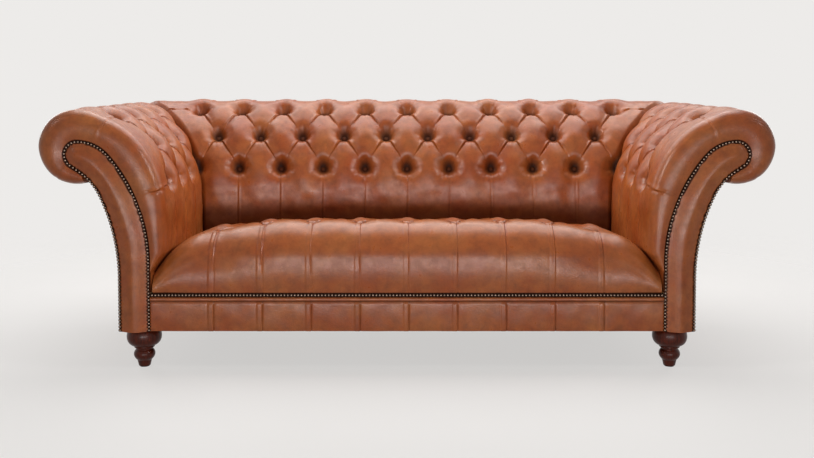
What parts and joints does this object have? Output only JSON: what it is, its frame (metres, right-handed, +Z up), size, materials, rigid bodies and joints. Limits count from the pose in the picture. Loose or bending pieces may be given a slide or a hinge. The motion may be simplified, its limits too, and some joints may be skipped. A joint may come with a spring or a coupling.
{
  "type": "deep-buttoned scroll-arm sofa",
  "caption": "Long leather sofa with flared scroll arms and back at one height, deep-buttoned back, arms and fixed seat, close-nailed facings and turned front feet.",
  "frame": {"origin": "on the floor, under the middle of the sofa's bounding box", "axes": "+X to the right of someone looking at the front and along the length of the sofa, the front faces -Y, +Z up; left and right nodes are mirror images in the plane X = 0"},
  "size_m": [2.2804, 0.9935, 0.8134],
  "materials": {
    "leather": "satin",
    "padding": "matt",
    "webbing": "matt",
    "hessian": "matt",
    "black_cloth": "matt",
    "frame_timber": "sawn",
    "mahogany": "gloss",
    "antique_brass": "antiqued",
    "zinc_steel": "satin",
    "black_plastic": "matt"
  },
  "bodies": {
    "root": {"arm_batten_left": "frame_timber", "arm_batten_right": "frame_timber", "arm_buttons_left": "leather", "arm_buttons_right": "leather", "arm_cover_left": "leather", "arm_cover_right": "leather", "arm_facing_left": "leather", "arm_facing_right": "leather", "arm_foam_left": "padding", "arm_foam_right": "padding", "arm_former_left": "frame_timber", "arm_former_right": "frame_timber", "arm_post_left": "frame_timber", "arm_post_right": "frame_timber", "arm_straps_left": "webbing", "arm_straps_right": "webbing", "arm_tack_rail_left": "frame_timber", "arm_tack_rail_right": "frame_timber", "back_batten": "frame_timber", "back_buttons": "leather", "back_cover": "leather", "back_foam": "padding", "back_formers": "frame_timber", "back_rail": "frame_timber", "back_straps": "webbing", "back_tack_rails": "frame_timber", "corner_blocks": "frame_timber", "corner_screws": "zinc_steel", "dust_cover": "black_cloth", "facing_nails_left": "antique_brass", "facing_nails_right": "antique_brass", "foot_bolts": "zinc_steel", "foot_glides": "black_plastic", "foot_tee_nuts": "zinc_steel", "front_border": "leather", "front_foot_left": "mahogany", "front_foot_right": "mahogany", "front_nails": "antique_brass", "front_rail": "frame_timber", "outside_arm_left": "leather", "outside_arm_right": "leather", "outside_back": "leather", "rear_foot_left": "mahogany", "rear_foot_right": "mahogany", "seat_buttons": "leather", "seat_cover": "leather", "seat_cross_rails": "frame_timber", "seat_foam": "padding", "seat_hessian": "hessian", "seat_straps_cross": "webbing", "seat_straps_long": "webbing", "side_rail_left": "frame_timber", "side_rail_right": "frame_timber"}
  },
  "joints": []
}
